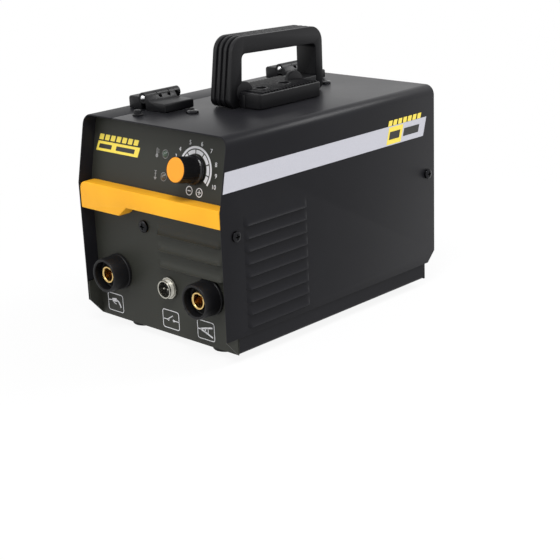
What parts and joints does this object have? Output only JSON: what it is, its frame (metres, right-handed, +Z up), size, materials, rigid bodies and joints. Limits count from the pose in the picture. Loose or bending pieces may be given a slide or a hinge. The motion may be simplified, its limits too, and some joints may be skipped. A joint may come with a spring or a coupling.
{
  "type": "mig welding machine",
  "caption": "Portable wire welder in a sheet-metal case: sloped control panel, two bayonet sockets, top handle, hinged side door over the wire spool and feed rolls.",
  "frame": {"origin": "on the ground, under the middle of the machine's bounding box", "axes": "+Z up, -Y out of the front panel, -X out of the door of the wire compartment"},
  "size_m": [0.183, 0.287, 0.2503],
  "materials": {
    "case_paint": "fine-textured black powder coat",
    "panel_paint": "satin charcoal powder coat with printed marks",
    "zinc_sheet": "zinc-plated sheet",
    "orange_plastic": "satin moulded plastic",
    "orange_cap": "satin moulded plastic",
    "handle_plastic": "fine-grained black moulding",
    "black_moulding": "satin black moulding",
    "nylon": "moulded nylon",
    "insulator": "phenolic",
    "rubber": "moulded rubber",
    "black_steel": "black oxide",
    "bright_steel": "ground steel",
    "nickel": "nickel plate",
    "brass": "turned brass",
    "aluminium": "extruded or cast",
    "motor_steel": "plated can",
    "wire": "drawn wire",
    "board": "solder mask",
    "ferrite": "taped ferrite core",
    "copper_winding": "enamelled copper",
    "capacitor_sleeve": "shrink sleeve",
    "lamp_green": "diffusing lens",
    "lamp_amber": "diffusing lens"
  },
  "bodies": {
    "chassis": {"base_tray": "case_paint", "foot_front_left": "rubber", "foot_front_right": "rubber", "foot_rear_left": "rubber", "foot_rear_right": "rubber", "front_panel": "panel_paint", "rear_panel": "case_paint", "centre_partition": "zinc_sheet", "top_side_cover": "case_paint", "front_trim": "orange_plastic", "front_panel_screw": "black_steel", "side_screw_front": "black_steel", "side_screw_rear": "black_steel", "handle_screw_front": "black_steel", "handle_screw_rear": "black_steel", "handle": "handle_plastic", "handle_base": "handle_plastic", "hinge_fixed_leaf_front": "handle_plastic", "hinge_fixed_leaf_rear": "handle_plastic", "hinge_pin_front": "bright_steel", "hinge_pin_rear": "bright_steel", "torch_socket_shroud": "black_moulding", "torch_socket_insert": "brass", "clamp_socket_shroud": "black_moulding", "clamp_socket_insert": "brass", "trigger_socket": "nickel", "trigger_insert": "insulator", "potentiometer": "zinc_sheet", "indicator_upper": "lamp_green", "indicator_lower": "lamp_amber", "feed_motor": "motor_steel", "feed_plate": "nylon", "inlet_guide": "brass", "outlet_guide": "brass", "spool_spindle": "nylon", "spool_nut": "nylon", "fan_frame": "black_moulding", "power_switch_frame": "black_moulding", "cable_gland": "nylon", "circuit_board": "board", "heatsink_left": "aluminium", "heatsink_right": "aluminium", "main_transformer": "ferrite", "output_reactor": "copper_winding", "main_capacitor": "capacitor_sleeve"},
    "door": {"side_door": "case_paint", "hinge_moving_leaf_front": "handle_plastic", "hinge_moving_leaf_rear": "handle_plastic"},
    "latch": {"door_latch": "black_moulding"},
    "knob": {"control_knob": "black_moulding", "knob_cap": "orange_cap"},
    "switch_rocker": {"power_switch_rocker": "black_moulding"},
    "feed_roll": {"drive_roll": "bright_steel"},
    "pressure_lever": {"pressure_arm": "aluminium"},
    "pressure_wheel": {"pressure_roll": "bright_steel"},
    "tension_knob": {"tension_screw": "nylon"},
    "spool": {"wire_spool": "black_moulding", "wire_winding": "wire"},
    "fan": {"fan_rotor": "black_moulding"}
  },
  "joints": [
    {"name": "door_swing", "type": "hinge", "parent": "chassis", "child": "door", "pos_m": [-0.0535, 0, 0.2005], "axis": [0, 1, 0], "range_deg": [0, 105]},
    {"name": "latch_turn", "type": "hinge", "parent": "door", "child": "latch", "pos_m": [-0.089, -0.06, 0.052], "axis": [-1, 0, 0], "range_deg": [0, 90]},
    {"name": "knob_turn", "type": "hinge", "parent": "chassis", "child": "knob", "pos_m": [0.0425, -0.11931, 0.1565], "axis": [0, -0.9799, 0.1994], "range_deg": [-135, 135]},
    {"name": "rocker_tilt", "type": "hinge", "parent": "chassis", "child": "switch_rocker", "pos_m": [-0.01, 0.1238, 0.166], "axis": [1, 0, 0], "range_deg": [0, 18]},
    {"name": "feed_roll_spin", "type": "hinge", "parent": "chassis", "child": "feed_roll", "pos_m": [-0.0575, -0.062, 0.04105], "axis": [1, 0, 0], "continuous": true},
    {"name": "pressure_lever_lift", "type": "hinge", "parent": "chassis", "child": "pressure_lever", "pos_m": [-0.0477, -0.04, 0.067], "axis": [-1, 0, 0], "range_deg": [0, 80]},
    {"name": "pressure_wheel_spin", "type": "hinge", "parent": "pressure_lever", "child": "pressure_wheel", "pos_m": [-0.0575, -0.062, 0.06095], "axis": [1, 0, 0], "continuous": true},
    {"name": "tension_turn", "type": "hinge", "parent": "pressure_lever", "child": "tension_knob", "pos_m": [-0.0575, -0.084, 0.065], "axis": [0, 0, 1], "range_deg": [-360, 360]},
    {"name": "spool_spin", "type": "hinge", "parent": "chassis", "child": "spool", "pos_m": [-0.0364, 0.0635, 0.112], "axis": [1, 0, 0], "continuous": true},
    {"name": "fan_spin", "type": "hinge", "parent": "chassis", "child": "fan", "pos_m": [0.0415, 0.1194, 0.108], "axis": [0, 1, 0], "continuous": true}
  ],
  "couplings": [
    {"joint": "pressure_wheel_spin", "follows": "feed_roll_spin", "ratio": -1.375}
  ]
}
